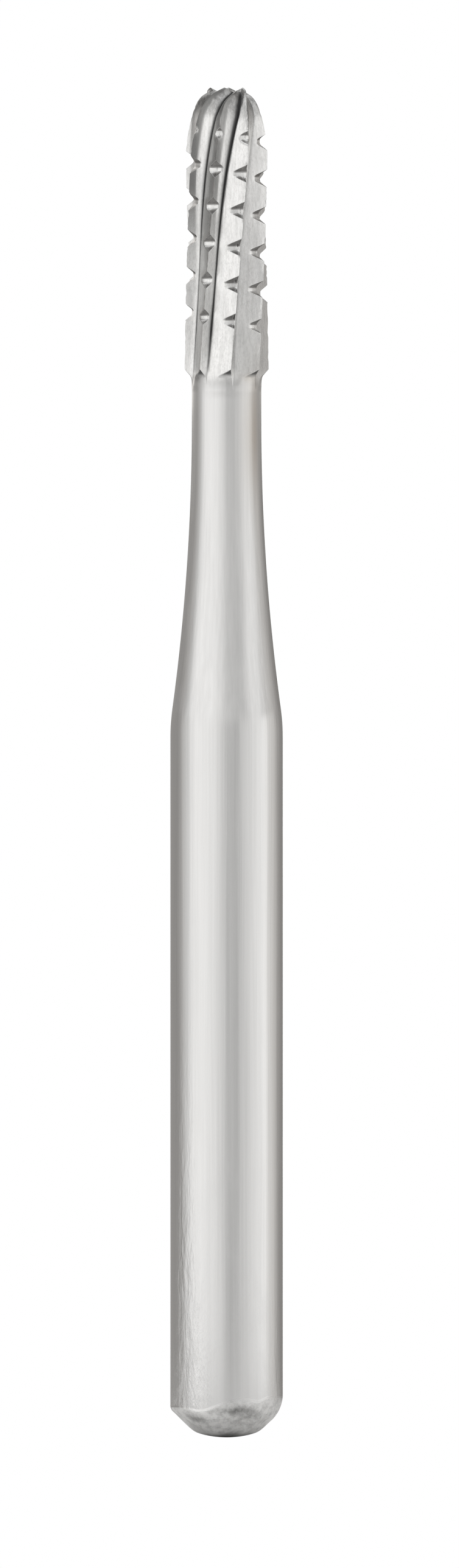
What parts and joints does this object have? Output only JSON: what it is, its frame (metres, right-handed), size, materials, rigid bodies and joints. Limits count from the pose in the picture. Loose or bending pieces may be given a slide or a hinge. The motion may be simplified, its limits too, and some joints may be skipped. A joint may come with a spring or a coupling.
{
  "type": "carbide burr",
  "caption": "Friction-grip carbide burr: a plain round shank, a hollow flare up to a thin neck, and a slim domed head whose twisted blades are notched by a cross-cut thread.",
  "frame": {"origin": "centre of the shank's end, at its lowest point", "axes": "+Z along the tool's axis from the shank's end to the tip of the head; +X to the right and +Y away from the viewer in the picture's view"},
  "size_m": [0.0016, 0.0016, 0.0192],
  "materials": {
    "ground_carbide": "ground, with fine lines along the axis"
  },
  "bodies": {
    "root": {"burr": "ground_carbide"}
  },
  "joints": []
}
